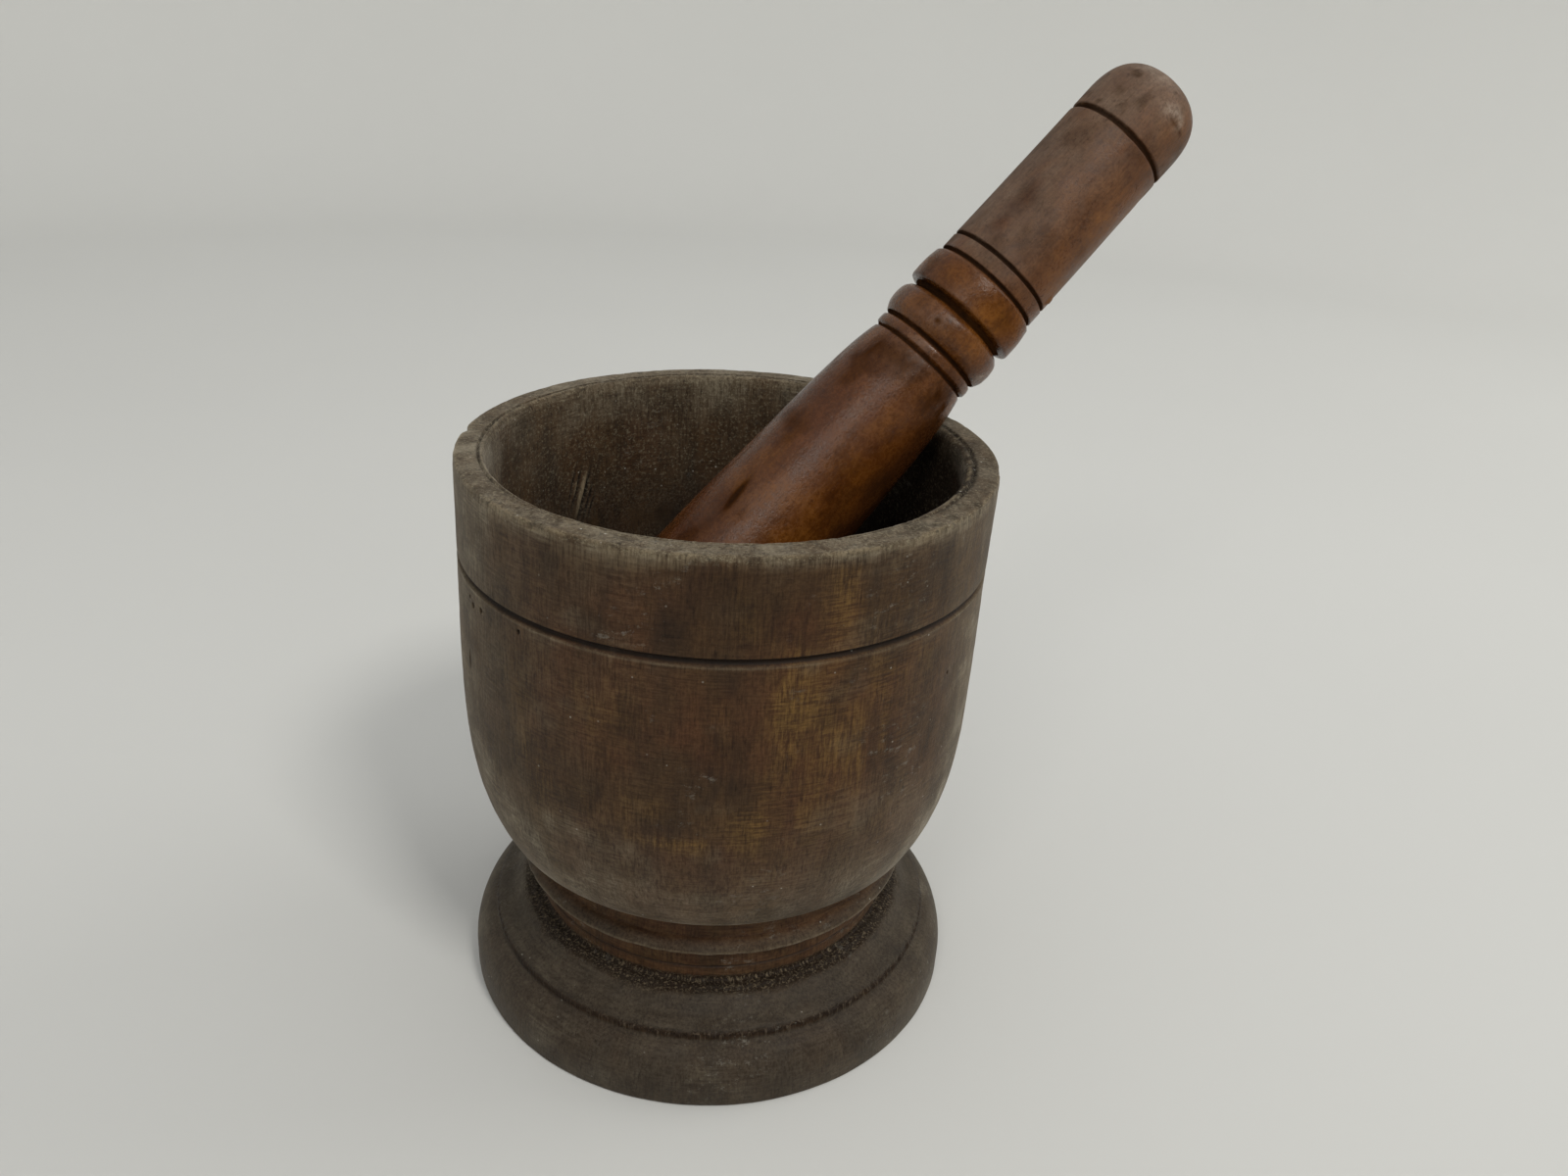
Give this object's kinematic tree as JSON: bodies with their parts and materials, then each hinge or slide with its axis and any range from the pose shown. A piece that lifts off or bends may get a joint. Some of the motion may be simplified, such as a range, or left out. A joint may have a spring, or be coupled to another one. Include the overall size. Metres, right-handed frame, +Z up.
{
  "type": "mortar and pestle",
  "caption": "Turned wooden mortar on a stepped foot, with a club-headed wooden pestle leaning in its bowl.",
  "frame": {"origin": "centre of the foot's flat underside, on the mortar's turning axis", "axes": "+Z up along the mortar's axis; the pestle's handle leans towards +X and a little towards +Y"},
  "size_m": [0.2085, 0.155, 0.2766],
  "materials": {
    "mortar_wood": "matt, dusty, worn",
    "pestle_wood": "satin, hand-polished"
  },
  "bodies": {
    "mortar": {"mortar": "mortar_wood"},
    "pestle": {"pestle": "pestle_wood"}
  },
  "joints": [
    {"name": "pestle_lift", "type": "slide", "parent": "mortar", "child": "pestle", "axis": [0, 0, 1], "range_m": [0, 0.15]}
  ]
}
